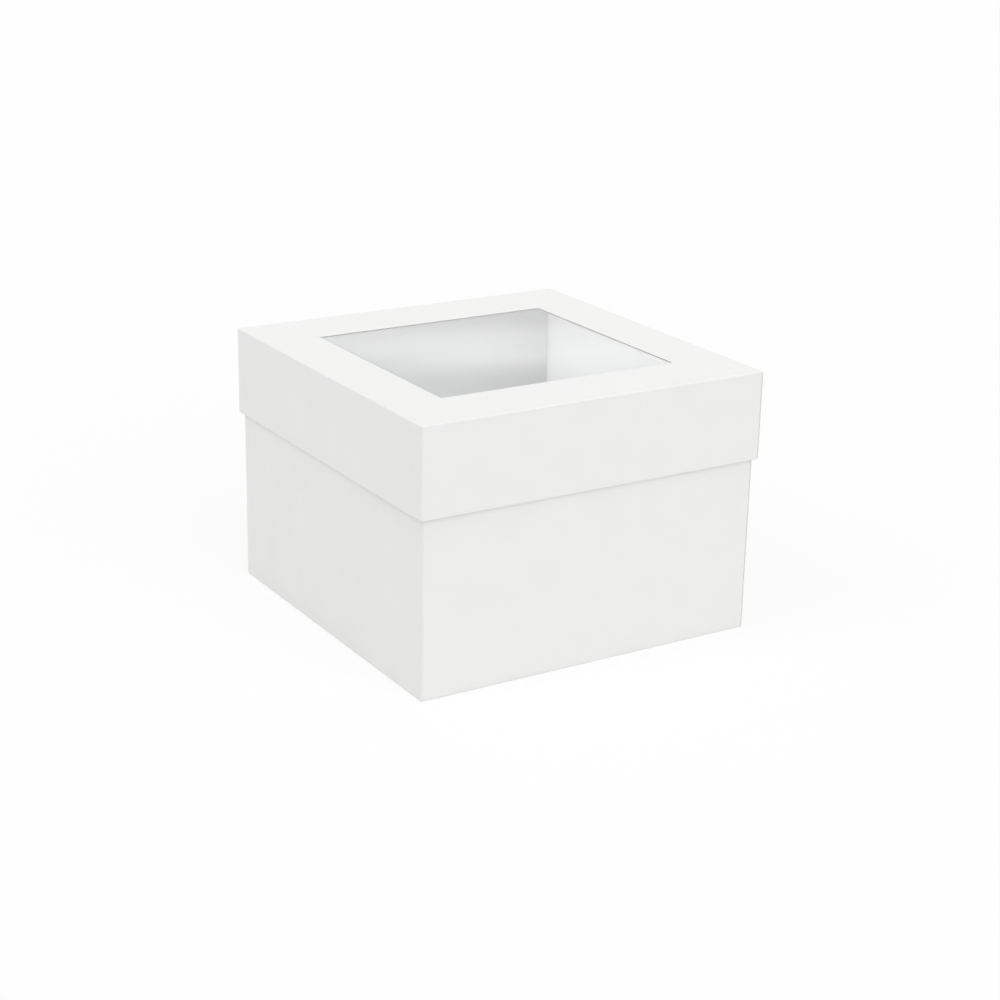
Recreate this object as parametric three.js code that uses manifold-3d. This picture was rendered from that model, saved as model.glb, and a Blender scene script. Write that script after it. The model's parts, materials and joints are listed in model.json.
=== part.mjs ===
// A square white cake box of folded paperboard: a deep tray, and a lift-off lid with a clear window.
// Millimetres, +Z up, front towards -Y, origin at the middle of the tray's underside.
//
// Tray and lid are one creased blank each: a flat panel, four walls that roll over at the rim into
// a second layer inside, and four corner flaps held between the two layers.

import * as THREE from "three";
import { mergeVertices } from "three/addons/utils/BufferGeometryUtils.js";
import Module from "manifold-3d";

const wasm = await Module();
wasm.setup();

// Board and the way it folds
const boardThickness = 0.6;
const creaseInnerRadius = 0.4;
const layerClearance = 0.2;
const cutEdgeClearance = 0.3;
const mitreClearance = 0.2;

// Tray, sized inside for a ten-inch cake board
const insideWidth = 256;
const trayHeight = 187;

// Lid, slipped over the tray and resting on its rim
const lidDepth = 63;
const lidPlay = 0.8;
const lidSeatGap = 0.3;

// Corner flaps, one at each end of the front and back walls
const flapLength = 35;
const flapTaperDegrees = 12;
const flapTipRounding = 5;

// Lock tabs, two at the foot of each inner wall of the tray
const tabWidth = 28;
const tabSpacing = 120;
const tabClearance = 0.4;
const tabTipGap = 0.1;

// Window in the lid, with its film glued on from inside
const windowSideBorder = 41.4;
const windowEndBorder = 47.4;
const windowCornerRounding = 1;
const filmOverlap = 12;
const filmThickness = 0.2;
const glueThickness = 0.1;
const glueWidth = 8;
const glueInset = 2;

// Flat facets in a quarter turn of a crease, and in a rounded corner
const facetsPerQuarter = 5;

// Sizes that follow from those above
const creaseRadius = creaseInnerRadius + boardThickness;
const pocketWidth = boardThickness + 2 * layerClearance;
const wallWidth = pocketWidth + 2 * boardThickness;
const rimRadius = wallWidth / 2;
const trayWidth = insideWidth + 2 * wallWidth;
const lidWidth = trayWidth + 2 * lidPlay + 2 * wallWidth;
const lidTop = trayHeight + lidSeatGap + boardThickness;
const windowWidth = lidWidth - 2 * windowSideBorder;
const windowDepth = lidWidth - 2 * windowEndBorder;
const innerWallFoot = boardThickness + cutEdgeClearance;

// Colours and surfaces
const whiteBoard = { color: 0xf4f4f2, roughness: 0.62, metalness: 0 };
const clearFilm = { color: 0xeef2f3, roughness: 0.08, metalness: 0, transparent: true, opacity: 0.18 };
const driedGlue = { color: 0xe9e7dc, roughness: 0.35, metalness: 0, transparent: true, opacity: 0.7 };

const axisX = new THREE.Vector3(1, 0, 0);
const axisY = new THREE.Vector3(0, 1, 0);
const axisZ = new THREE.Vector3(0, 0, 1);

// Each drawing plane, as the turn that takes a flat outline and its thickness into place
const planes = {
  xy: new THREE.Matrix4(),
  yz: new THREE.Matrix4().makeBasis(axisY, axisZ, axisX),
  zx: new THREE.Matrix4().makeBasis(axisZ, axisX, axisY),
};

// Points of a round bend about a centre, from one angle to another in degrees.
function bend(centreX, centreY, radius, fromDegrees, toDegrees) {
  const from = THREE.MathUtils.degToRad(fromDegrees);
  const to = THREE.MathUtils.degToRad(toDegrees);
  const facets = (facetsPerQuarter * Math.abs(toDegrees - fromDegrees)) / 90;
  const arc = new THREE.EllipseCurve(centreX, centreY, radius, radius, from, to, to < from);
  return arc.getPoints(facets);
}

// A closed outline through corners [x, y, rounding], where a corner without rounding stays sharp.
function outline(corners) {
  const shape = new THREE.Shape();
  corners.forEach(([x, y, rounding = 0], i) => {
    const corner = new THREE.Vector2(x, y);
    const towards = (j) => {
      const [nextX, nextY] = corners[j % corners.length];
      return new THREE.Vector2(nextX, nextY).sub(corner).setLength(rounding).add(corner);
    };
    const start = towards(i + corners.length - 1);
    const end = towards(i + 1);
    if (i === 0) shape.moveTo(start.x, start.y);
    else shape.lineTo(start.x, start.y);
    if (rounding > 0) shape.quadraticCurveTo(x, y, end.x, end.y);
  });
  return shape;
}

// An upright rectangle about the origin.
function rectangle(width, depth, rounding = 0) {
  const x = width / 2;
  const y = depth / 2;
  return outline([
    [-x, -y, rounding],
    [x, -y, rounding],
    [x, y, rounding],
    [-x, y, rounding],
  ]);
}

// The window's outline, set outwards all round.
function windowOutline(offset, rounding = 0) {
  return rectangle(windowWidth + 2 * offset, windowDepth + 2 * offset, rounding);
}

// A closed solid from a closed geometry.
function solidOf(geometry) {
  const bare = new THREE.BufferGeometry();
  bare.setAttribute("position", geometry.getAttribute("position"));
  const merged = mergeVertices(bare);
  return new wasm.Manifold(
    new wasm.Mesh({
      numProp: 3,
      vertProperties: merged.getAttribute("position").array,
      triVerts: new Uint32Array(merged.getIndex().array),
    }),
  );
}

// An outline in one of the drawing planes, extruded between two places on the axis square to it.
function prism(plane, shape, from, to) {
  const settings = { depth: to - from, bevelEnabled: false, curveSegments: facetsPerQuarter };
  const geometry = new THREE.ExtrudeGeometry(shape, settings);
  geometry.translate(0, 0, from);
  geometry.applyMatrix4(planes[plane]);
  return solidOf(geometry);
}

// A named mesh of a solid, with a surface of its own.
function piece(name, solid, surface) {
  const { vertProperties, triVerts } = solid.getMesh();
  const shared = new THREE.BufferGeometry();
  shared.setAttribute("position", new THREE.BufferAttribute(vertProperties, 3));
  shared.setIndex(new THREE.BufferAttribute(triVerts, 1));
  const faceted = shared.toNonIndexed();
  faceted.computeVertexNormals();
  const mesh = new THREE.Mesh(faceted, new THREE.MeshStandardMaterial(surface));
  mesh.name = name;
  return mesh;
}

// The walls below are drawn at the front: X along the wall, Y inwards from its outer face,
// Z up from the outer face of the panel that it folds from.

// The outer layer of a wall: the crease at its foot and the flat board up to the rim.
function outerWall(length, height) {
  const top = height - rimRadius;
  const section = new THREE.Shape([
    ...bend(creaseRadius, creaseRadius, creaseRadius, 270, 180),
    new THREE.Vector2(0, top),
    new THREE.Vector2(boardThickness, top),
    ...bend(creaseRadius, creaseRadius, creaseInnerRadius, 180, 270),
  ]);
  return prism("yz", section, -length / 2, length / 2);
}

// The inner layer: the board rolled round at the rim and brought down inside to its foot. The rim
// is mitred at the corners, and the inner wall is cut square just past the wall beside it.
function innerWall(width, height, foot) {
  const rimCentre = height - rimRadius;
  const section = new THREE.Shape([
    ...bend(rimRadius, rimCentre, rimRadius, 180, 0),
    new THREE.Vector2(wallWidth, foot),
    new THREE.Vector2(wallWidth - boardThickness, foot),
    ...bend(rimRadius, rimCentre, pocketWidth / 2, 0, 180),
  ]);
  const half = width / 2 - mitreClearance;
  const innerFace = wallWidth - boardThickness;
  const plan = outline([
    [-half, 0],
    [half, 0],
    [half - innerFace, innerFace],
    [half - wallWidth, innerFace],
    [half - wallWidth, wallWidth],
    [wallWidth - half, wallWidth],
    [wallWidth - half, innerFace],
    [innerFace - half, innerFace],
  ]);
  const rolled = prism("yz", section, -half, half);
  return rolled.intersect(prism("xy", plan, 0, height));
}

// The middles of the lock tabs along a wall.
const tabCentres = [-tabSpacing / 2, tabSpacing / 2];

// An inner wall whose foot runs down into lock tabs.
function tabbedInnerWall(width, height) {
  const half = width / 2;
  const tabs = tabCentres.flatMap((centre) => [
    [innerWallFoot, centre - tabWidth / 2],
    [tabTipGap, centre - tabWidth / 2],
    [tabTipGap, centre + tabWidth / 2],
    [innerWallFoot, centre + tabWidth / 2],
  ]);
  const foot = [[innerWallFoot, -half], ...tabs, [innerWallFoot, half]];
  const elevation = outline([...foot, [height, half], [height, -half]]);
  return innerWall(width, height, tabTipGap).intersect(prism("zx", elevation, 0, wallWidth));
}

// The flap that folds round from one end of a wall and lies behind the outer layer of the next,
// at the end towards +X or towards -X. Its top and bottom edges taper to a rounded tip.
function cornerFlap(width, height, end) {
  const bendCentre = width / 2 - boardThickness - layerClearance - creaseRadius;
  const face = bendCentre + creaseRadius;
  const plan = [
    ...bend(bendCentre, creaseRadius, creaseRadius, 270, 360),
    new THREE.Vector2(face, flapLength),
    new THREE.Vector2(face - boardThickness, flapLength),
    ...bend(bendCentre, creaseRadius, creaseInnerRadius, 360, 270),
  ];
  const bottom = creaseRadius + cutEdgeClearance;
  const top = height - rimRadius - cutEdgeClearance;
  const rise = (flapLength - creaseRadius) * Math.tan(THREE.MathUtils.degToRad(flapTaperDegrees));
  const elevation = outline([
    [0, bottom],
    [creaseRadius, bottom],
    [flapLength, bottom + rise, flapTipRounding],
    [flapLength, top - rise, flapTipRounding],
    [creaseRadius, top],
    [0, top],
  ]);
  const shape = new THREE.Shape(plan.map(({ x, y }) => new THREE.Vector2(end * x, y)));
  const [low, high] = end > 0 ? [0, face] : [-face, 0];
  return prism("xy", shape, bottom, top).intersect(prism("yz", elevation, low, high));
}

// The straight part of a wall that carries a corner flap at each end.
function flappedWallLength(width) {
  return width - 2 * (boardThickness + layerClearance + creaseRadius);
}

// The tray's floor, with a notch at the crease for each lock tab.
function notchedFloor() {
  const notchWidth = tabWidth + 2 * tabClearance;
  const notchDepth = wallWidth + tabClearance;
  const width = trayWidth - 2 * creaseRadius;
  let floor = prism("xy", rectangle(width, width), 0, boardThickness);
  for (let quarter = 0; quarter < 4; quarter++) {
    for (const centre of tabCentres) {
      const notch = new THREE.BoxGeometry(notchWidth, notchDepth, 3 * boardThickness).toNonIndexed();
      notch.translate(centre, (notchDepth - trayWidth) / 2, boardThickness / 2);
      notch.rotateZ((quarter * Math.PI) / 2);
      floor = floor.subtract(solidOf(notch));
    }
  }
  return floor;
}

// The lid's top, with the window cut through it.
function windowedTop() {
  const width = lidWidth - 2 * creaseRadius;
  const shape = rectangle(width, width);
  shape.holes.push(windowOutline(0, windowCornerRounding));
  return prism("xy", shape, 0, boardThickness);
}

// The walls and corner flaps that stand on a panel. The sides are named in order round it, from
// the front on, and the first and third walls carry the flaps.
function foldedWalls(body, sides, width, height, rolledWall) {
  const walls = new THREE.Group();
  sides.forEach((side, quarter) => {
    const place = new THREE.Group();
    place.position.y = -width / 2;
    const carriesFlaps = quarter % 2 === 0;
    const length = carriesFlaps ? flappedWallLength(width) : width;
    place.add(piece(`${body}_${side}_wall`, outerWall(length, height), whiteBoard));
    place.add(piece(`${body}_${side}_rolled_wall`, rolledWall, whiteBoard));
    if (carriesFlaps) {
      for (const end of [-1, 1]) {
        const neighbour = sides[(quarter + end + 4) % 4];
        const name = `${body}_${side}_${neighbour}_flap`;
        place.add(piece(name, cornerFlap(width, height, end), whiteBoard));
      }
    }
    const turn = new THREE.Group();
    turn.rotation.z = (quarter * Math.PI) / 2;
    turn.add(place);
    walls.add(turn);
  });
  return walls;
}

// Tray
const tray = new THREE.Group();
tray.add(piece("tray_floor", notchedFloor(), whiteBoard));
const trayInnerWall = tabbedInnerWall(trayWidth, trayHeight);
tray.add(foldedWalls("tray", ["front", "right", "back", "left"], trayWidth, trayHeight, trayInnerWall));

// Lid, folded like the tray and turned over, which changes its right and left about
const lid = new THREE.Group();
lid.add(piece("lid_top", windowedTop(), whiteBoard));
const lidInnerWall = innerWall(lidWidth, lidDepth, innerWallFoot);
lid.add(foldedWalls("lid", ["front", "left", "back", "right"], lidWidth, lidDepth, lidInnerWall));

// Window film and the line of glue that holds it, on the inside of the lid's top
const glueShape = windowOutline(glueInset + glueWidth, glueWidth / 2);
glueShape.holes.push(windowOutline(glueInset));
const filmFace = boardThickness + glueThickness;
lid.add(piece("window_glue", prism("xy", glueShape, boardThickness, filmFace), driedGlue));
const film = prism("xy", windowOutline(filmOverlap), filmFace, filmFace + filmThickness);
lid.add(piece("window_film", film, clearFilm));
lid.rotation.y = Math.PI;
lid.position.z = lidTop;

const cakeBox = new THREE.Group();
cakeBox.add(tray, lid);

export default cakeBox;
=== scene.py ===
"""A white window cake box of folded paperboard: its looks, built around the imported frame.

Every panel is a sheet worked out on a grid. One direction of the grid runs along a wall, and the
other along the folded line of the wall's section. Metres, +Z up, front towards -Y.
"""

import json
import math
from collections import namedtuple

import bpy
import numpy as np
from mathutils import Matrix, Vector


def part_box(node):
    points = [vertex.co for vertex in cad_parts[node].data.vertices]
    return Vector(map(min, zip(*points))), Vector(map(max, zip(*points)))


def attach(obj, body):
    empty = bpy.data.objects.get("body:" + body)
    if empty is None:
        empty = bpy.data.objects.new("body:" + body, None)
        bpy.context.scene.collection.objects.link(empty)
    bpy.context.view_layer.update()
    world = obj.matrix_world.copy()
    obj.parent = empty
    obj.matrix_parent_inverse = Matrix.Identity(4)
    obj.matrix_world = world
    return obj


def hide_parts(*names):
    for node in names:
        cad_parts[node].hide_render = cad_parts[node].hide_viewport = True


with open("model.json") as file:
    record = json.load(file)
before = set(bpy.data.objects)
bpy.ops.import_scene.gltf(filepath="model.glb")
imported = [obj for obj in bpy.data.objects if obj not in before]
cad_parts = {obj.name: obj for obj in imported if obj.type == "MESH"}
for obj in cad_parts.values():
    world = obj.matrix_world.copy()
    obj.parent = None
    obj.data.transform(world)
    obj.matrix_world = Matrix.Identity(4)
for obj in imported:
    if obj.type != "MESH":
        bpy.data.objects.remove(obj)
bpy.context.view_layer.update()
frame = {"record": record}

X, Y, Z = range(3)
MM = 0.001
QUARTER = math.pi / 2
rng = np.random.default_rng(41)


def size(node, axis):
    """A node's size along one axis."""
    low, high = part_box(node)
    return high[axis] - low[axis]


# Board and folds, as packed
BOARD = size("tray_floor", Z)
CREASE_RADIUS = size("tray_front_wall", Y)
WALL = size("tray_front_rolled_wall", Y)
RIM_RADIUS = WALL / 2
MIDDLE_CREASE = CREASE_RADIUS - BOARD / 2
MIDDLE_RIM = RIM_RADIUS - BOARD / 2

# Outside sizes, as packed
TRAY_WIDTH = size("tray_left_wall", Y)
TRAY_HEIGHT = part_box("tray_front_rolled_wall")[1][Z]
LID_WIDTH = size("lid_left_wall", Y)
LID_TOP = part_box("lid_top")[1][Z]
LID_DEPTH = LID_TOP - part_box("lid_front_rolled_wall")[0][Z]
FLAP_LENGTH = size("tray_front_left_flap", Y)

# Cuts and their clearances
CUT_EDGE_GAP = 0.3 * MM
INNER_FOOT = BOARD + CUT_EDGE_GAP
MITRE_GAP = 0.35 * MM
MITRED_SHARE = 0.8
SQUARE_CUT_GAP = 0.2 * MM
PANEL_CORNER_ROUNDING = 0.2 * MM
TAB_WIDTH = 28 * MM
TAB_CENTRE = 60 * MM
TAB_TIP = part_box("tray_front_rolled_wall")[0][Z]
NOTCH_CLEARANCE = 0.4 * MM
FLAP_TAPER = math.radians(12)
FLAP_EDGE_GAP = 0.3 * MM
FLAP_TIP_ROUNDING = 5 * MM

# The flap's crease, pressed so hard that the layers all but touch
PRESSED_GAP = 0.03 * MM
FLAP_BEND_RADIUS = 0.64 * MM
FLAP_SETBACK = BOARD + PRESSED_GAP + FLAP_BEND_RADIUS

# Window, and the punch that crushed its edge
WINDOW_ROUNDING = 1 * MM
PUNCH_REACH = 0.6 * MM
PUNCH_CRUSH = 0.3 * MM

# Film and glue line
FILM_OVERLAP = 12 * MM
FILM_THICKNESS = 0.1 * MM
FILM_PRESS = 0.08 * MM
GLUE_INSET = 2 * MM
GLUE_OUTSET = 10 * MM
GLUE_SHRINK = 0.01 * MM
GLUE_INNER_ROUNDING = 0.5 * MM
GLUE_OUTER_ROUNDING = 4 * MM
WINDOW_HALF_WIDTH = size("window_film", X) / 2 - FILM_OVERLAP
WINDOW_HALF_DEPTH = size("window_film", Y) / 2 - FILM_OVERLAP

# How far the sheets stand off true: the waves are in radians, across a panel and in a metre of film
LAYER_SPRING = 0.25 * MM
SPRING_UNEVENNESS = 0.35
SPRING_WAVE = 4
SPRING_WAVES = 3
FILM_RIPPLE = 0.018 * MM
FILM_WAVE = 60
FILM_WAVES = 4

# How the sheets are divided
CELL = 5 * MM
FILM_CELL = 3 * MM
FOLD_CELL = 1 * MM
PAST_FOLD_CELL = 3 * MM
EDGE_CELL = 6 * MM
ROLLED_END_CELL = 4 * MM
BEND_CELLS = 8
CORNER_CELLS = 6
WINDOW_SIDE_CELLS = 39
LID_BORDER_CELLS = 12
GLUE_CELLS = 5
SHARP_ANGLE = math.radians(38)
FOLD_REACH = 1.6 * MM


# Surfaces


def stations(marks, spacing=CELL):
    """Places from the first mark to the last that take in every mark, at most a spacing apart."""
    spans = [
        np.linspace(a, b, max(1, math.ceil((b - a) / spacing)), endpoint=False)
        for a, b in zip(marks, marks[1:])
    ]
    return np.concatenate([*spans, [marks[-1]]])


def bend_stations(length, cells=BEND_CELLS):
    """Places from nothing up to the length of a bend, without its end."""
    return np.linspace(0, length, cells, endpoint=False)


def folded_line(along, start, heading, runs):
    """Points and headings on a line of board, as complex numbers, at distances from its start.

    Each run is (length, turn): over it the heading turns evenly, so the run is an arc, or straight
    where the turn is nothing. The chord of an arc is its length times the sinc of half its turn,
    and points half the turn away from the heading at the arc's start.
    """
    point = np.full(along.shape, start, complex)
    headings = np.full(along.shape, heading, complex)
    begun = 0.0
    for length, turn in runs:
        done = np.clip(along - begun, 0, length)
        angle = turn * done / length
        point += heading * done * np.sinc(angle / (2 * math.pi)) * np.exp(0.5j * angle)
        headings = np.where(along > begun, heading * np.exp(1j * angle), headings)
        heading = heading * np.exp(1j * turn)
        begun += length
    return point, headings


def s_curve(share):
    """From 0 to 1, level at both ends: 3 t squared less 2 t cubed."""
    return share**2 * (3 - 2 * share)


def near_fold(distance):
    """1 on a fold, falling off as a bell: e to the minus square of the distance over the reach."""
    return np.exp(-((distance / FOLD_REACH) ** 2))


def random_waves(steepest, count):
    """Long waves of random direction: radians one way, radians the other way, and a phase."""
    low = (-steepest, -steepest, 0)
    high = (steepest, steepest, 2 * math.pi)
    return rng.uniform(low, high, (count, 3))


def spring(across, up):
    """How far a flat layer springs off the one beside it: most in the middle, nothing at its edges.

    A sine across times a sine up the panel, made uneven by the mean of three long waves.
    """
    uneven = 0.0
    for tilt_across, tilt_up, phase in random_waves(SPRING_WAVE, SPRING_WAVES):
        uneven = uneven + np.sin(tilt_across * across + tilt_up * up + phase) / SPRING_WAVES
    middle = np.sin(math.pi * np.clip(across, 0, 1)) * np.sin(math.pi * np.clip(up, 0, 1))
    return LAYER_SPRING * middle * (1 - SPRING_UNEVENNESS + SPRING_UNEVENNESS * uneven)


def rounded_loop(half_width, half_depth, rounding, sides):
    """Points once round a rectangle with rounded corners.

    Each straight side is followed by a quarter circle, with the rounding for its radius. sides are
    places from -1 to 1 along a straight side.
    """
    straight_x, straight_y = half_width - rounding, half_depth - rounding
    angles = np.linspace(0, QUARTER, CORNER_CELLS, endpoint=False)
    corners = [(1, -1), (1, 1), (-1, 1), (-1, -1)]
    loop = []
    for quarter, (sign_x, sign_y) in enumerate(corners):
        centre = complex(sign_x * straight_x, sign_y * straight_y)
        turn = 1j**quarter
        half_side = straight_x if quarter % 2 == 0 else straight_y
        loop.append(centre + turn * (-half_side + sides[:-1] * half_side - 1j * rounding))
        loop.append(centre + turn * rounding * np.exp(1j * (angles - QUARTER)))
    return np.concatenate(loop)


class Blank:
    """One creased blank, folded up.

    All of it is drawn as for a tray: along a wall, inwards from the wall's outer face, and up from
    the outer face of the panel. The lid is a tray turned over.
    """

    def __init__(self, body, width, height, sides, top=None):
        self.body = body
        self.width = width
        self.height = height
        self.sides = sides
        self.top = top

    def direction(self, quarter, along, inward, up):
        """Directions as x, y, z: quarter turns about Z to the wall, and the lid's half about Y."""
        cos, sin = [(1, 0), (0, 1), (-1, 0), (0, -1)][quarter]
        x, y, z = along * cos - inward * sin, along * sin + inward * cos, up
        if self.top is not None:
            x, z = -x, -z
        return np.stack(np.broadcast_arrays(x, y, z), axis=-1)

    def point(self, quarter, along, inward, up):
        """Points as x, y, z, with the wall's outer face half the width from the middle."""
        return self.direction(quarter, along, inward - self.width / 2, up) + [0, 0, self.top or 0]

    def flat_point(self, x, y, up):
        """Points over the panel, from its middle."""
        return self.point(0, x, y + self.width / 2, up)

    def flat_outward(self, x):
        """The direction out of the panel, at every point."""
        return self.direction(0, 0 * x, 0 * x, -1 + 0 * x)


# Meshes


def sheet_faces(cells, rows, columns):
    """Corner numbers of a sheet's faces, its back faces and its cut edges.

    The grid's points come first and the same points on the back after them. A cut edge joins face
    and back wherever a kept cell has no kept neighbour.
    """
    ring = len(cells) == rows
    index = np.arange(rows * columns).reshape(rows, columns)
    if ring:
        index = np.concatenate([index, index[:1]])
    a, b, c, d = index[:-1, :-1], index[1:, :-1], index[1:, 1:], index[:-1, 1:]
    under = rows * columns
    front = np.stack([a, b, c, d], axis=-1)[cells]
    back = np.stack([a, d, c, b], axis=-1)[cells] + under
    padded = np.pad(cells, ((1, 1), (0, 0)), "wrap" if ring else "constant")
    padded = np.pad(padded, ((0, 0), (1, 1)))
    sides = [
        (a, d, padded[:-2, 1:-1]),
        (c, b, padded[2:, 1:-1]),
        (b, a, padded[1:-1, :-2]),
        (d, c, padded[1:-1, 2:]),
    ]
    cut = [
        np.stack([p, q, q + under, p + under], axis=-1)[cells & ~neighbour]
        for p, q, neighbour in sides
    ]
    return front, back, np.concatenate(cut)


def corner_patterns(pattern, faces, uncut, thickness):
    """Each face corner's place in the pattern: on a cut edge, the way along it and the depth."""
    points = pattern.shape[0] * pattern.shape[1]
    corners = faces.ravel()
    flat = pattern.reshape(-1, 2)[corners % points]
    depth = np.where(corners < points, 0.0, thickness)
    is_cut = np.repeat(np.arange(len(faces)) >= uncut, 4)
    return np.where(is_cut[:, None], np.stack([flat.sum(axis=1), depth], axis=-1), flat)


def add_sheet(
    node, middle, outward, pattern, fold, finishes, thickness=BOARD, keep=None, ring=False
):
    """Adds the piece that stands for a node: a closed sheet with a face, a back and cut edges.

    middle holds the points of its middle surface and outward the unit directions that its face
    looks in. The face is the middle moved out by half the thickness, and the back is moved in by as
    much. pattern is the place of each point in the material's pattern, and fold is 1 on a fold.
    finishes are those of the face, the back and the cut edges. keep says which cells of the grid
    are there, and in a ring the last row joins the first. A grid that would face inwards is turned
    over.
    """
    turned = np.cross(middle[1, 0] - middle[0, 0], middle[0, 1] - middle[0, 0]) @ outward[0, 0] < 0
    fold = np.broadcast_to(fold, middle.shape[:2])
    half_thickness = np.broadcast_to(thickness, middle.shape[:2])[..., None] / 2
    pattern = np.stack(np.broadcast_arrays(*pattern), axis=-1) + rng.uniform(0, 1, 2)
    rows, columns = middle.shape[:2]
    if keep is None:
        keep = np.ones((rows if ring else rows - 1, columns - 1), bool)
    if turned:
        middle, outward, pattern, fold, half_thickness, keep = (
            array[:, ::-1] for array in (middle, outward, pattern, fold, half_thickness, keep)
        )
    front, back, cut = sheet_faces(keep, rows, columns)
    faces = np.concatenate([front, back, cut])
    corners = np.concatenate([middle + outward * half_thickness, middle - outward * half_thickness])
    corners = corners.reshape(-1, 3)
    uv = corner_patterns(pattern, faces, len(front) + len(back), 2 * half_thickness.max())

    used, numbered = np.unique(faces, return_inverse=True)
    mesh = bpy.data.meshes.new(node + "_sheet")
    mesh.from_pydata(corners[used].tolist(), [], numbered.reshape(-1, 4).tolist())
    mesh.uv_layers.new(name="pattern").data.foreach_set("uv", uv.astype(np.float32).ravel())
    marks = mesh.attributes.new("fold", "FLOAT", "POINT")
    marks.data.foreach_set("value", np.tile(fold.ravel(), 2)[used].astype(np.float32))
    for finish in finishes:
        mesh.materials.append(finish)
    kinds = np.repeat([0, 1, 2], [len(front), len(back), len(cut)])
    mesh.polygons.foreach_set("material_index", kinds.astype(np.int32))
    mesh.shade_smooth()
    mesh.set_sharp_from_angle(angle=SHARP_ANGLE)
    piece = bpy.data.objects.new(node + "_sheet", mesh)
    bpy.context.scene.collection.objects.link(piece)
    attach(piece, BODY_OF[node])
    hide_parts(node)
    return piece


record = frame["record"]
BODY_OF = {node: body for body, nodes in record["behaviour"]["bodies"].items() for node in nodes}


# Finishes

# The sockets of a Mix node that are for colours
MIX_FACTOR, MIX_FIRST, MIX_SECOND, MIX_RESULT = 0, 6, 7, 2


class Wire:
    """The output of a node. A sum written on it adds the Math node for that sum."""

    def __init__(self, recipe, socket):
        self.recipe = recipe
        self.socket = socket

    def other(self, name):
        """Another output of the same node."""
        return Wire(self.recipe, self.socket.node.outputs[name])

    def __add__(self, value):
        return self.recipe.maths("ADD", self, value)

    def __sub__(self, value):
        return self.recipe.maths("SUBTRACT", self, value)

    def __rsub__(self, value):
        return self.recipe.maths("SUBTRACT", value, self)

    def __mul__(self, value):
        return self.recipe.maths("MULTIPLY", self, value)

    def __pow__(self, value):
        return self.recipe.maths("POWER", self, value)

    __radd__ = __add__
    __rmul__ = __mul__


class Recipe:
    """The nodes of a material or of the world."""

    def __init__(self, owner):
        owner.use_nodes = True
        self.tree = owner.node_tree
        self.tree.nodes.clear()

    def add(self, kind, settings=None, values=None, output=0):
        """Adds a node: its settings and its ramp's stops first, then the values of its sockets."""
        node = self.tree.nodes.new("ShaderNode" + kind)
        settings = dict(settings or {})
        stops = settings.pop("stops", [])
        for name, setting in settings.items():
            setattr(node, name, setting)
        if stops:
            node.color_ramp.interpolation = "EASE"
        for number, (place, shade) in enumerate(stops):
            elements = node.color_ramp.elements
            element = elements[number] if number < len(elements) else elements.new(place)
            element.position = place
            element.color = (shade, shade, shade, 1)
        for socket, value in (values or {}).items():
            if isinstance(value, Wire):
                self.tree.links.new(value.socket, node.inputs[socket])
            else:
                node.inputs[socket].default_value = value
        return Wire(self, node.outputs[output]) if node.outputs else None

    def maths(self, operation, first, second, clamped=False):
        """One Math node."""
        settings = {"operation": operation, "use_clamp": clamped}
        return self.add("Math", settings, {0: first, 1: second})

    def limited(self, value):
        """A value held between 0 and 1."""
        return self.maths("ADD", value, 0.0, clamped=True)

    def blend(self, factor, first, second):
        """A colour between two colours."""
        values = {MIX_FACTOR: factor, MIX_FIRST: (*first, 1), MIX_SECOND: (*second, 1)}
        return self.add("Mix", {"data_type": "RGBA"}, values, output=MIX_RESULT)

    def noise(self, vector, scale=1, detail=2, roughness=0.5):
        """Noise from 0 to 1, with this many features in a metre where the vector is in metres."""
        values = {"Vector": vector, "Scale": scale, "Detail": detail, "Roughness": roughness}
        return self.add("TexNoise", {}, values)

    def stretched(self, vector, scale):
        """A vector scaled unevenly, for grain that runs in one direction."""
        return self.add("Mapping", {}, {"Vector": vector, "Scale": scale})

    def relief(self, height, depth):
        """A bump, with the depth in metres of a height of 1."""
        return self.add("Bump", {}, {"Strength": 1.0, "Distance": depth, "Height": height})

    def finish(self, shader):
        """Joins the last shader to the output."""
        self.add("OutputMaterial", {}, {"Surface": shader})


# Noise has its middle here, and a value less this is as often above nothing as below it
MIDDLE = 0.5

# What shows in board: how fine it is, and what it adds to the shade, the relief and the roughness.
# Fibres and cracks are finer in the second direction of the pattern than in the first
CLOUDS_PER_METRE = 38
GRIT_PER_METRE = 2600
FIBRES_PER_METRE = (260, 1400, 1)
CRACKS_PER_METRE = (420, 7000, 1)
CLOUD_SHADE = 1.6
PLAIN_SHADE = 0.4
CRACK_SHADE = 0.5
CRACK_START = 0.52
CRACK_SHARPNESS = 7.0
GRIT_RELIEF = 0.5
FIBRE_RELIEF = 0.6
CRACK_RELIEF = -1.4
CLOUD_WEAR = 0.16
FOLD_WEAR = 0.12
BOARD_SHINE = 0.32


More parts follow.
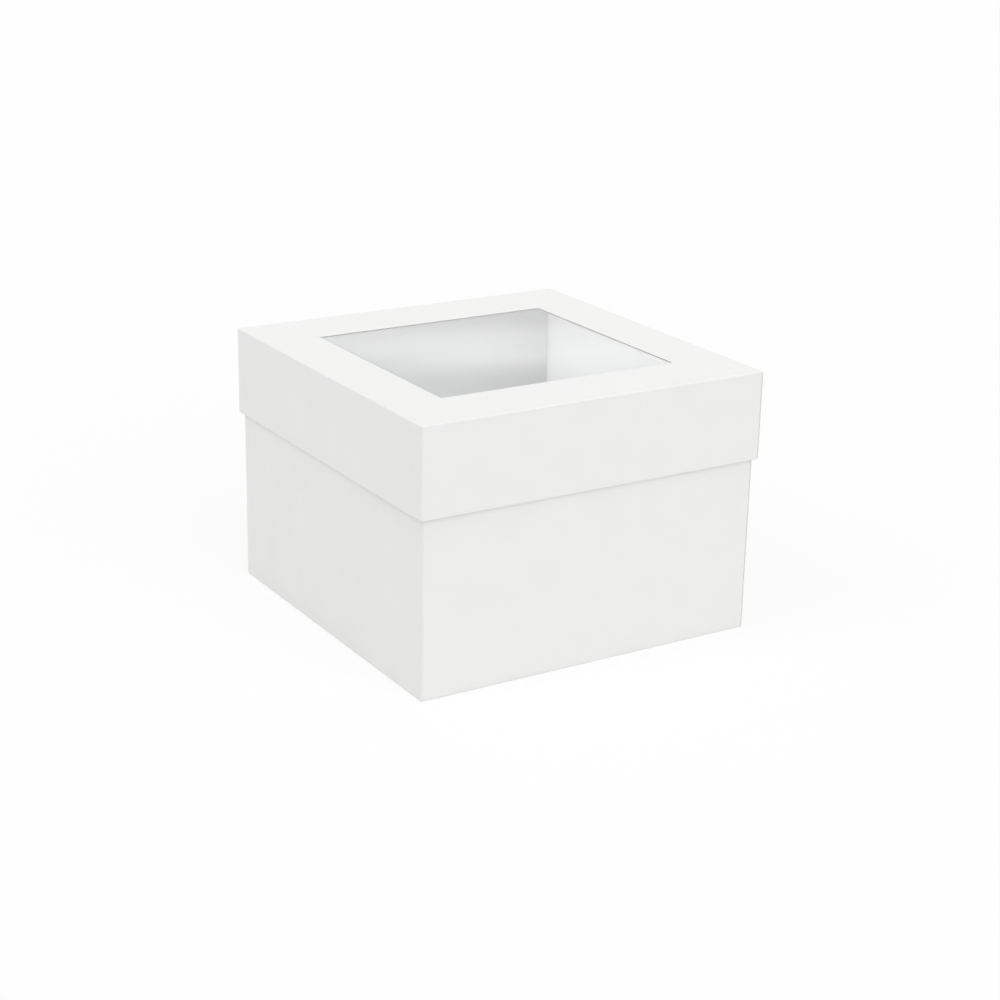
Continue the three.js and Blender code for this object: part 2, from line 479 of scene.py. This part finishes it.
def board_finish(name, pale, dull, roughness, tooth, grain):
    """A side of white board: clouded pulp, short fibres along the sheet, and cracks in the folds.

    Its shade, relief and roughness are sums of the noises, each times its weight. A crack is what
    its noise has past the start, times the mark of a fold. tooth is the depth of the relief in
    metres, and grain is how far the fibres show in the shade.
    """
    material = bpy.data.materials.new(name)
    recipe = Recipe(material)
    place = recipe.add("TexCoord", output="Object")
    sheet = recipe.add("UVMap", {"uv_map": "pattern"})
    fold = recipe.add("Attribute", {"attribute_name": "fold"}, output="Fac")
    cloud = recipe.noise(place, CLOUDS_PER_METRE, detail=3, roughness=0.55) - MIDDLE
    fibre = recipe.noise(recipe.stretched(sheet, FIBRES_PER_METRE), detail=4, roughness=0.6)
    grit = recipe.noise(place, GRIT_PER_METRE, detail=3, roughness=0.6)
    crack = recipe.noise(recipe.stretched(sheet, CRACKS_PER_METRE), detail=3, roughness=0.7)
    cracked = recipe.limited((crack - CRACK_START) * CRACK_SHARPNESS) * fold
    shade = cloud * CLOUD_SHADE + (fibre - MIDDLE) * grain + PLAIN_SHADE + cracked * CRACK_SHADE
    height = grit * GRIT_RELIEF + fibre * FIBRE_RELIEF + cracked * CRACK_RELIEF
    values = {
        "Base Color": recipe.blend(recipe.limited(shade), pale, dull),
        "Roughness": cloud * CLOUD_WEAR + fold * FOLD_WEAR + roughness,
        "Specular IOR Level": BOARD_SHINE,
        "Normal": recipe.relief(height, tooth),
    }
    recipe.finish(recipe.add("BsdfPrincipled", {}, values))
    return material


# The cut edge: its plies and torn fibres, along it and into its depth, and what they add
PLIES_PER_METRE = (700, 9000, 1)
TEARS_PER_METRE = (2400, 2400, 1)
PLY_SHADE = 2.2
PLY_RELIEF = 0.7
TEAR_RELIEF = 0.5
TEAR_WEAR = 0.1
CUT_ROUGHNESS = 0.8
CUT_DEPTH = 0.05 * MM
CUT_PALE = (0.925, 0.92, 0.908)
CUT_DULL = (0.865, 0.856, 0.834)


def cut_finish():
    """The board's cut edge: thin plies of fibre in the thickness, torn a little by the knife.

    Its shade, relief and roughness are sums of the two noises, each times its weight.
    """
    material = bpy.data.materials.new("board_cut_edge")
    recipe = Recipe(material)
    edge = recipe.add("UVMap", {"uv_map": "pattern"})
    ply = recipe.noise(recipe.stretched(edge, PLIES_PER_METRE), detail=3, roughness=0.6)
    tear = recipe.noise(recipe.stretched(edge, TEARS_PER_METRE), detail=2, roughness=0.5)
    shade = recipe.limited((ply - MIDDLE) * PLY_SHADE + MIDDLE)
    values = {
        "Base Color": recipe.blend(shade, CUT_PALE, CUT_DULL),
        "Roughness": tear * TEAR_WEAR + CUT_ROUGHNESS,
        "Normal": recipe.relief(ply * PLY_RELIEF + tear * TEAR_RELIEF, CUT_DEPTH),
    }
    recipe.finish(recipe.add("BsdfPrincipled", {}, values))
    return material


# Film: its haze and pull, the share mirrored seen straight on, and what is added to it seen flat
HAZE_PER_METRE = 900
PULLS_PER_METRE = (9, 26, 1)
STRAIGHT_MIRROR = 0.04
FLAT_MIRROR = 0.96
MIRROR_POWER = 5.0
HAZE_POWER = 4.0
HAZE_MIRROR = 0.03
FILM_ROUGHNESS = 0.03
PULL_DEPTH = 0.03 * MM
FILM_TINT = (0.985, 0.99, 0.992, 1)


def film_finish():
    """Clear film: it mirrors more the flatter it is seen, and passes the rest.

    The share mirrored is 4%, plus 96% of the fifth power of the facing value, plus a little haze.
    """
    material = bpy.data.materials.new("clear_window_film")
    recipe = Recipe(material)
    place = recipe.add("TexCoord", output="Object")
    facing = recipe.add("LayerWeight", {}, {"Blend": 0.5}, output="Facing")
    haze = recipe.noise(place, HAZE_PER_METRE, detail=3, roughness=0.7) ** HAZE_POWER
    mirrored = facing**MIRROR_POWER * FLAT_MIRROR + haze * HAZE_MIRROR + STRAIGHT_MIRROR
    pull = recipe.noise(recipe.stretched(place, PULLS_PER_METRE), detail=1, roughness=0.4)
    passed = recipe.add("BsdfTransparent", {}, {"Color": FILM_TINT})
    values = {
        "Color": (1, 1, 1, 1),
        "Roughness": FILM_ROUGHNESS,
        "Normal": recipe.relief(pull, PULL_DEPTH),
    }
    gloss = recipe.add("BsdfAnisotropic", {}, values)
    recipe.finish(recipe.add("MixShader", {}, {0: recipe.limited(mirrored), 1: passed, 2: gloss}))
    return material


# Glue: its beads and bubbles, and what they add
BEADS_PER_METRE = 320
BUBBLES_PER_METRE = 900
BUBBLE_RELIEF = 0.3
BEAD_WEAR = 0.2
GLUE_ROUGHNESS = 0.25
BEAD_COVER = 0.3
GLUE_COVER = 0.55
GLUE_DEPTH = 0.06 * MM
GLUE_PALE = (0.88, 0.87, 0.82)
GLUE_DULL = (0.82, 0.80, 0.72)


def glue_finish():
    """Dried glue: milky and half clear, laid down in beads of uneven thickness.

    Its roughness, cover and relief are sums of the beads and bubbles, each times its weight.
    """
    material = bpy.data.materials.new("dried_window_glue")
    recipe = Recipe(material)
    place = recipe.add("TexCoord", output="Object")
    bead = recipe.noise(place, BEADS_PER_METRE, detail=3, roughness=0.5)
    bubble = recipe.add("TexVoronoi", {}, {"Vector": place, "Scale": BUBBLES_PER_METRE})
    values = {
        "Base Color": recipe.blend(bead, GLUE_PALE, GLUE_DULL),
        "Roughness": bead * BEAD_WEAR + GLUE_ROUGHNESS,
        "Alpha": bead * BEAD_COVER + GLUE_COVER,
        "Normal": recipe.relief(bead + bubble * BUBBLE_RELIEF, GLUE_DEPTH),
    }
    recipe.finish(recipe.add("BsdfPrincipled", {}, values))
    return material


coated = board_finish(
    "white_board_coated_face",
    pale=(0.916, 0.916, 0.911),
    dull=(0.894, 0.893, 0.886),
    roughness=0.62,
    tooth=0.012 * MM,
    grain=0.3,
)
uncoated = board_finish(
    "white_board_plain_back",
    pale=(0.912, 0.909, 0.898),
    dull=(0.872, 0.866, 0.848),
    roughness=0.78,
    tooth=0.03 * MM,
    grain=1.2,
)
cut_edge = cut_finish()
board_sides = (coated, uncoated, cut_edge)
film = film_finish()
glue = glue_finish()


# Panels


def outer_wall(blank, quarter):
    """The outer layer of a wall: a quarter turn at the crease, then straight up to the rim.

    A wall with flaps is cut back at its ends, but its crease runs out to the walls beside it. The
    half length goes from the one to the other along an S curve.
    """
    bend = MIDDLE_CREASE * QUARTER
    rise = blank.height - RIM_RADIUS - CREASE_RADIUS
    top = bend + rise
    cut_back_end = bend + FLAP_EDGE_GAP
    marks = [bend, cut_back_end, bend + FOLD_CELL, bend + PAST_FOLD_CELL, top - PAST_FOLD_CELL, top]
    path = np.concatenate([bend_stations(bend), stations(marks)])
    half = blank.width / 2
    half_length = np.full(path.shape, half)
    if quarter % 2 == 0:
        past = np.clip((path - bend) / FLAP_EDGE_GAP, 0, 1)
        half_length = half_length - BOARD - PRESSED_GAP - FLAP_BEND_RADIUS * s_curve(past)
    share = stations([-half, EDGE_CELL - half, half - EDGE_CELL, half]) / half
    along = share[:, None] * half_length[None, :]
    up = np.broadcast_to(path, along.shape)
    start = CREASE_RADIUS + 0.5j * BOARD
    line, heading = folded_line(up, start, -1, [(bend, -QUARTER), (rise, 0)])
    out = heading * 1j
    line += out * spring(share[:, None] / 2 + 0.5, (up - bend) / rise)
    add_sheet(
        f"{blank.body}_{blank.sides[quarter]}_wall",
        blank.point(quarter, along, line.real, line.imag),
        blank.direction(quarter, 0 * along, out.real, out.imag),
        (along, up),
        near_fold(np.maximum(up - bend, 0)) + near_fold(top - up),
        board_sides,
    )


def rolled_wall(blank, quarter, tabs):
    """The rim and the inner layer: a half turn over the top, then straight down inside.

    Along the rim the ends are mitred, and below it they are cut square, just past the wall beside
    them. The half length is half the width less the gap, less how far in the line has come.
    """
    rim = MIDDLE_RIM * math.pi
    foot = TAB_TIP if tabs else INNER_FOOT
    drop = blank.height - RIM_RADIUS - foot
    end = rim + drop
    marks = [rim, rim + FOLD_CELL, rim + PAST_FOLD_CELL, end - EDGE_CELL, end]
    if tabs:
        marks.insert(-1, end - (INNER_FOOT - TAB_TIP))
    path = np.concatenate([bend_stations(rim, 2 * BEND_CELLS), stations(marks)])
    start = 0.5 * BOARD + 1j * (blank.height - RIM_RADIUS)
    line, heading = folded_line(path, start, 1j, [(rim, -math.pi), (drop, 0)])
    square = blank.width / 2 - SQUARE_CUT_GAP - WALL
    mitred = blank.width / 2 - MITRE_GAP - line.real
    half_length = np.where(path < MITRED_SHARE * rim, mitred, square)
    tab_edges = [tab * TAB_CENTRE + edge * TAB_WIDTH / 2 for tab in (-1, 1) for edge in (-1, 1)]
    ends = [ROLLED_END_CELL - square, *tab_edges, square - ROLLED_END_CELL]
    share = stations([-square, *ends, square]) / square
    along = share[:, None] * half_length[None, :]
    up = np.broadcast_to(path, along.shape)
    out = heading * 1j
    line = line + out * spring(share[:, None] / 2 + 0.5, (up - rim) / drop)
    keep = np.ones((len(share) - 1, len(path) - 1), bool)
    if tabs:
        cell = np.abs((share[1:] + share[:-1]) / 2 * square)
        keep[np.abs(cell - TAB_CENTRE) > TAB_WIDTH / 2, -1] = False
    add_sheet(
        f"{blank.body}_{blank.sides[quarter]}_rolled_wall",
        blank.point(quarter, along, line.real, line.imag),
        blank.direction(quarter, 0 * along, out.real, out.imag),
        (along, up),
        near_fold(np.maximum(up - rim, 0)),
        board_sides,
        keep=keep,
    )


def corner_flap(blank, quarter, end):
    """A flap folded round from one end of a wall, in the pocket of the next one.

    Its two long edges run in at the taper from the crease to the tip, where they are rounded off by
    a quarter circle: the rounding less the root of its square less the square of the way into it.
    """
    bend = (FLAP_BEND_RADIUS - BOARD / 2) * QUARTER
    reach = FLAP_LENGTH - FLAP_BEND_RADIUS
    tip_start = bend + reach - FLAP_TIP_ROUNDING
    marks = [bend, bend + FOLD_CELL, bend + PAST_FOLD_CELL, tip_start]
    tip_angles = np.linspace(0, QUARTER, CORNER_CELLS + 1)[1:]
    tip = bend + reach - FLAP_TIP_ROUNDING * (1 - np.sin(tip_angles))
    path = np.concatenate([bend_stations(bend), stations(marks), tip])
    start = blank.width / 2 - FLAP_SETBACK + 0.5j * BOARD
    line, heading = folded_line(path, start, 1, [(bend, QUARTER), (reach, 0)])
    flat = np.maximum(path - bend, 0)
    into_tip = np.clip(flat - reach + FLAP_TIP_ROUNDING, 0, FLAP_TIP_ROUNDING)
    rounding = FLAP_TIP_ROUNDING - np.sqrt(FLAP_TIP_ROUNDING**2 - into_tip**2)
    inset = flat * math.tan(FLAP_TAPER) + rounding
    gap = PRESSED_GAP + (FLAP_EDGE_GAP - PRESSED_GAP) * np.clip(flat / FLAP_EDGE_GAP, 0, 1)
    bottom = CREASE_RADIUS + gap + inset
    top = blank.height - RIM_RADIUS - gap - inset
    share = np.linspace(0, 1, math.ceil(blank.height / CELL))
    up = bottom[:, None] + (top - bottom)[:, None] * share[None, :]
    out = (heading * -1j)[:, None] + 0 * up
    along = end * line.real[:, None] + 0 * up
    inward = line.imag[:, None] + 0 * up
    neighbour = blank.sides[(quarter + end) % 4]
    add_sheet(
        f"{blank.body}_{blank.sides[quarter]}_{neighbour}_flap",
        blank.point(quarter, along, inward, up),
        blank.direction(quarter, end * out.real, out.imag, 0 * up),
        (up, path[:, None]),
        near_fold(flat)[:, None],
        board_sides,
    )


def notched_floor(blank):
    """The tray's floor: a flat square with a notch at its edge for each lock tab."""
    half = blank.width / 2 - CREASE_RADIUS
    notch_depth = WALL + NOTCH_CLEARANCE - CREASE_RADIUS
    notch_half = TAB_WIDTH / 2 + NOTCH_CLEARANCE
    notch_edges = [tab * TAB_CENTRE + edge * notch_half for tab in (-1, 1) for edge in (-1, 1)]
    places = stations([-half, notch_depth - half, *notch_edges, half - notch_depth, half])
    x, y = np.meshgrid(places, places, indexing="ij")
    cell = np.abs((places[1:] + places[:-1]) / 2)
    by_edge = cell > half - notch_depth
    by_tab = np.abs(cell - TAB_CENTRE) < notch_half
    keep = ~((by_edge[:, None] & by_tab[None, :]) | (by_tab[:, None] & by_edge[None, :]))
    add_sheet(
        f"{blank.body}_floor",
        blank.flat_point(x, y, np.full(x.shape, BOARD / 2)),
        blank.flat_outward(x),
        (x, y),
        near_fold(half - np.maximum(np.abs(x), np.abs(y))),
        board_sides,
        keep=keep,
    )


def window_frame(
    blank, node, inner, outer, roundings, cells, up, thickness, finishes, crush=0.0
):
    """A flat frame round the window: straight lines from an inner loop to an outer loop.

    The punch has crushed the face along the window: it is lower there by the crush times the square
    of how near the edge is, from nothing at the punch's reach to 1 at the edge itself.
    """
    sides = np.linspace(-1, 1, WINDOW_SIDE_CELLS + 1)
    loops = [
        rounded_loop(half_width, half_depth, rounding, sides)
        for (half_width, half_depth), rounding in zip((inner, outer), roundings)
    ]
    line = loops[1] - loops[0]
    border = np.abs(line).mean()
    punched = np.linspace(0, PUNCH_REACH / border, CORNER_CELLS)
    share = np.concatenate([punched, np.linspace(punched[-1], 1, cells + 1)[1:]])
    place = loops[0][:, None] + line[:, None] * share[None, :]
    x, y = place.real, place.imag
    near_edge = np.clip(1 - share * border / PUNCH_REACH, 0, 1)
    dip = crush * near_edge[None, :] ** 2 + 0 * x
    add_sheet(
        node,
        blank.flat_point(x, y, up + dip / 2),
        blank.flat_outward(x),
        (x, y),
        near_fold(blank.width / 2 - CREASE_RADIUS - np.maximum(np.abs(x), np.abs(y))),
        finishes,
        thickness=thickness - dip,
        ring=True,
    )


def window_offset(offset):
    """Half the window's width and depth, set outwards all round."""
    return WINDOW_HALF_WIDTH + offset, WINDOW_HALF_DEPTH + offset


def window_film(blank):
    """The film: flat where it is glued, pressed up to the board inside the glue line, and a little
    uneven across the opening.

    Up to the board it rises on an S curve. The unevenness is long sine waves of random direction,
    faded by a cosine across the opening and one along it.
    """
    offsets = (0, GLUE_INSET / 2, GLUE_INSET, FILM_OVERLAP)
    halves = np.array([window_offset(offset) for offset in offsets])
    marks = np.concatenate([-halves[::-1], halves])
    places = [stations(marks[:, axis], FILM_CELL) for axis in (X, Y)]
    x, y = np.meshgrid(*places, indexing="ij")
    outside = np.maximum(np.abs(x) - WINDOW_HALF_WIDTH, np.abs(y) - WINDOW_HALF_DEPTH)
    risen = np.clip(1 - outside / GLUE_INSET, 0, 1)
    free = np.cos(QUARTER * np.clip(x / WINDOW_HALF_WIDTH, -1, 1))
    free = free * np.cos(QUARTER * np.clip(y / WINDOW_HALF_DEPTH, -1, 1))
    waves = np.zeros(x.shape)
    for pull_x, pull_y, phase in random_waves(FILM_WAVE, FILM_WAVES):
        waves += np.sin(pull_x * x + pull_y * y + phase)
    upper_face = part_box("window_film")[1][Z]
    up = blank.top - upper_face + FILM_THICKNESS / 2 + FILM_RIPPLE * free * waves
    add_sheet(
        "window_film",
        blank.flat_point(x, y, up - FILM_PRESS * s_curve(risen)),
        blank.flat_outward(x),
        (x, y),
        0.0,
        (film, film, film),
        thickness=FILM_THICKNESS,
    )


def folded_walls(blank, tabs):
    """The four walls of a blank, with a corner flap at each end of the first and the third."""
    for quarter in range(4):
        outer_wall(blank, quarter)
        rolled_wall(blank, quarter, tabs)
        if quarter % 2 == 0:
            for end in (-1, 1):
                corner_flap(blank, quarter, end)


tray = Blank("tray", TRAY_WIDTH, TRAY_HEIGHT, ["front", "right", "back", "left"])
notched_floor(tray)
folded_walls(tray, tabs=True)

lid = Blank("lid", LID_WIDTH, LID_DEPTH, ["front", "left", "back", "right"], top=LID_TOP)
lid_half = LID_WIDTH / 2 - CREASE_RADIUS
window_frame(
    lid,
    "lid_top",
    inner=window_offset(0),
    outer=(lid_half, lid_half),
    roundings=(WINDOW_ROUNDING, PANEL_CORNER_ROUNDING),
    cells=LID_BORDER_CELLS,
    up=BOARD / 2,
    thickness=BOARD,
    finishes=board_sides,
    crush=PUNCH_CRUSH,
)
folded_walls(lid, tabs=False)
glue_low, glue_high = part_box("window_glue")
window_frame(
    lid,
    "window_glue",
    inner=window_offset(GLUE_INSET),
    outer=window_offset(GLUE_OUTSET),
    roundings=(GLUE_INNER_ROUNDING, GLUE_OUTER_ROUNDING),
    cells=GLUE_CELLS,
    up=LID_TOP - (glue_low[Z] + glue_high[Z]) / 2,
    thickness=glue_high[Z] - glue_low[Z] - 2 * GLUE_SHRINK,
    finishes=(glue, glue, glue),
)
window_film(lid)


# Studio

WHITE = (1, 1, 1, 1)
ROOM_LIGHT = 0.72
BACKDROP = 0.99
FLOOR_HALF = 30.0
FLOOR_SHADE = 0.8
FLOOR_SEEN_SHADE = 0.26

# Soft lamps. The side that each shines from is given in degrees from the front, left positive, and
# its height and spread are in degrees too
Lamp = namedtuple("Lamp", "name strength side height spread")
LAMPS = [
    Lamp("left_light", strength=0.39, side=90, height=50, spread=28),
    Lamp("front_light", strength=0.65, side=0, height=40, spread=50),
    Lamp("overhead_light", strength=0.12, side=0, height=90, spread=50),
]

# The light panels that the film mirrors: how bright they are at each height, as the height's sine.
# The back one goes all round, but for the side one past the panel edge. A ramp ends at 1, so it
# holds their brightness as a share of the full scale
PANEL_HEIGHTS = (0.10, 0.246, 0.262, 0.281, 0.40)
BACK_PANEL = (0.95, 1.22, 1.58, 1.06, 0.9)
SIDE_PANEL = (0.95, 1.54, 1.85, 1.63, 0.9)
PANEL_FULL_SCALE = 2.0
PANEL_EDGE = math.radians(33.2)
PANEL_EDGE_BLUR = 0.002
PANEL_AWAY_BLUR = 0.5

# The strip light overhead: the heading square to it, how far it hangs off the middle, its half
# width, where its light has faded out in half widths, its lowest height and the fade above that,
# and its brightness
STRIP_SIDE = math.radians(53)
STRIP_OFFSET = 0.08
STRIP_HALF_WIDTH = 0.045
STRIP_FADED = 1.6
STRIP_LOWEST = 0.5
STRIP_END_BLUR = 1 / 3
STRIP_BRIGHTNESS = 2.2


def set_room():
    """A plain white room. What the camera or a clear sheet sees of it is the backdrop.

    What is mirrored has soft light panels low round the box, eased from each height to the next.
    The side one is brighter, with its edge at a heading of the panel edge from +Y towards +X. A
    strip hangs overhead, as bright as the distance from its middle is short of where it has faded.
    """
    world = bpy.data.worlds.new("studio_room")
    bpy.context.scene.world = world
    recipe = Recipe(world)
    camera = recipe.add("LightPath", output="Is Camera Ray")
    mirrored = camera.other("Is Glossy Ray")
    passed = camera.other("Is Transmission Ray")
    direction = recipe.add("TexCoord", output="Generated")
    east = recipe.add("SeparateXYZ", {}, {0: direction}, output="X")
    north, height = east.other("Y"), east.other("Z")
    past_edge = east * math.cos(PANEL_EDGE) - north * math.sin(PANEL_EDGE)
    away = east * math.sin(PANEL_EDGE) + north * math.cos(PANEL_EDGE)
    on_side = recipe.limited(past_edge * (1 / PANEL_EDGE_BLUR))
    on_side = on_side * recipe.limited(away * (1 / PANEL_AWAY_BLUR))
    full_height = PANEL_HEIGHTS[-1]
    places = [level / full_height for level in PANEL_HEIGHTS]
    back, side = (
        recipe.add(
            "ValToRGB",
            {"stops": [(place, b / PANEL_FULL_SCALE) for place, b in zip(places, brightness)]},
            {0: height * (1 / full_height)},
        )
        for brightness in (BACK_PANEL, SIDE_PANEL)
    )
    low_panels = (back + (side - back) * on_side) * PANEL_FULL_SCALE
    across_strip = east * math.sin(STRIP_SIDE) + north * math.cos(STRIP_SIDE) - STRIP_OFFSET
    off_strip = recipe.maths("ABSOLUTE", across_strip, 0.0) * (1 / STRIP_HALF_WIDTH)
    raised = recipe.limited((height - STRIP_LOWEST) * (1 / STRIP_END_BLUR))
    overhead = recipe.limited(STRIP_FADED - off_strip) * raised * STRIP_BRIGHTNESS
    plain = recipe.limited(camera + passed)
    unseen = recipe.limited(1 - (plain + mirrored))
    strength = plain * BACKDROP + mirrored * (low_panels + overhead) + unseen * ROOM_LIGHT
    shader = recipe.add("Background", {}, {"Color": WHITE, "Strength": strength})
    recipe.add("OutputWorld", {}, {"Surface": shader})


def set_floor():
    """A wide pale floor. What is seen of it has the backdrop's white, less a part of its shadows.

    The lift is the backdrop less the light that the seen shade sends back where nothing shades it:
    the room's, and each lamp's strength times the sine of its height, over pi.
    """
    corners = [(x, y, 0) for x, y in ((-1, -1), (1, -1), (1, 1), (-1, 1))]
    mesh = bpy.data.meshes.new("studio_floor")
    mesh.from_pydata([Vector(corner) * FLOOR_HALF for corner in corners], [], [(0, 1, 2, 3)])
    floor = bpy.data.objects.new("studio_floor", mesh)
    bpy.context.scene.collection.objects.link(floor)
    material = bpy.data.materials.new("studio_floor_white")
    recipe = Recipe(material)
    camera = recipe.add("LightPath", output="Is Camera Ray")
    mirrored, passed = camera.other("Is Glossy Ray"), camera.other("Is Transmission Ray")
    seen = recipe.limited(camera + mirrored + passed)
    matte, seen_matte = (
        recipe.add("BsdfDiffuse", {}, {"Color": (shade, shade, shade, 1)})
        for shade in (FLOOR_SHADE, FLOOR_SEEN_SHADE)
    )
    lamp_light = sum(lamp.strength * math.sin(math.radians(lamp.height)) for lamp in LAMPS)
    lift = BACKDROP - FLOOR_SEEN_SHADE * (ROOM_LIGHT + lamp_light / math.pi)
    glow = recipe.add("Emission", {}, {"Color": WHITE, "Strength": lift})
    seen_floor = recipe.add("AddShader", {}, {0: seen_matte, 1: glow})
    recipe.finish(recipe.add("MixShader", {}, {0: seen, 1: matte, 2: seen_floor}))
    mesh.materials.append(material)


def towards(side, height):
    """The unit vector at an angle from the front towards the left, and an angle above the floor."""
    flat = math.cos(height)
    return Vector((-math.sin(side) * flat, -math.cos(side) * flat, math.sin(height)))


def set_lamps():
    """Wide, even lamps far away, each given by the side and the height that it shines from."""
    for lamp in LAMPS:
        light = bpy.data.lights.new(lamp.name, "SUN")
        light.energy = lamp.strength
        light.angle = math.radians(lamp.spread)
        holder = bpy.data.objects.new(lamp.name, light)
        bpy.context.scene.collection.objects.link(holder)
        back = towards(math.radians(lamp.side), math.radians(lamp.height))
        holder.rotation_mode = "QUATERNION"
        holder.rotation_quaternion = back.to_track_quat("Z", "Y")


# The photograph's camera, from the box's own corners in the picture
CAMERA_PLACE = Vector((-0.74331, -1.20325, 0.57366))
CAMERA_YAW = math.radians(31.981)
CAMERA_PITCH = math.radians(19.362)
CAMERA_ROLL = math.radians(1.2)
CAMERA_NEAR = 0.05
CAMERA_FAR = 200
SENSOR = 36.0
FOCAL_SHARE = 2.0989


def set_camera():
    """The camera looks along a heading of the yaw from +Y towards +X, down by the pitch, and is
    then rolled about its own line of sight."""
    camera = bpy.data.cameras.new("photo_camera")
    camera.sensor_width = SENSOR
    camera.lens = SENSOR * FOCAL_SHARE
    camera.clip_start = CAMERA_NEAR
    camera.clip_end = CAMERA_FAR
    holder = bpy.data.objects.new("photo_camera", camera)
    bpy.context.scene.collection.objects.link(holder)
    back = towards(CAMERA_YAW, CAMERA_PITCH)
    right = Vector((math.cos(CAMERA_YAW), -math.sin(CAMERA_YAW), 0))
    level = Matrix((right, back.cross(right), back)).transposed()
    turn = level @ Matrix.Rotation(CAMERA_ROLL, 3, "Z")
    holder.matrix_world = Matrix.Translation(CAMERA_PLACE) @ turn.to_4x4()
    bpy.context.scene.camera = holder


set_room()
set_floor()
set_lamps()
set_camera()
bpy.context.scene.view_settings.view_transform = "Standard"
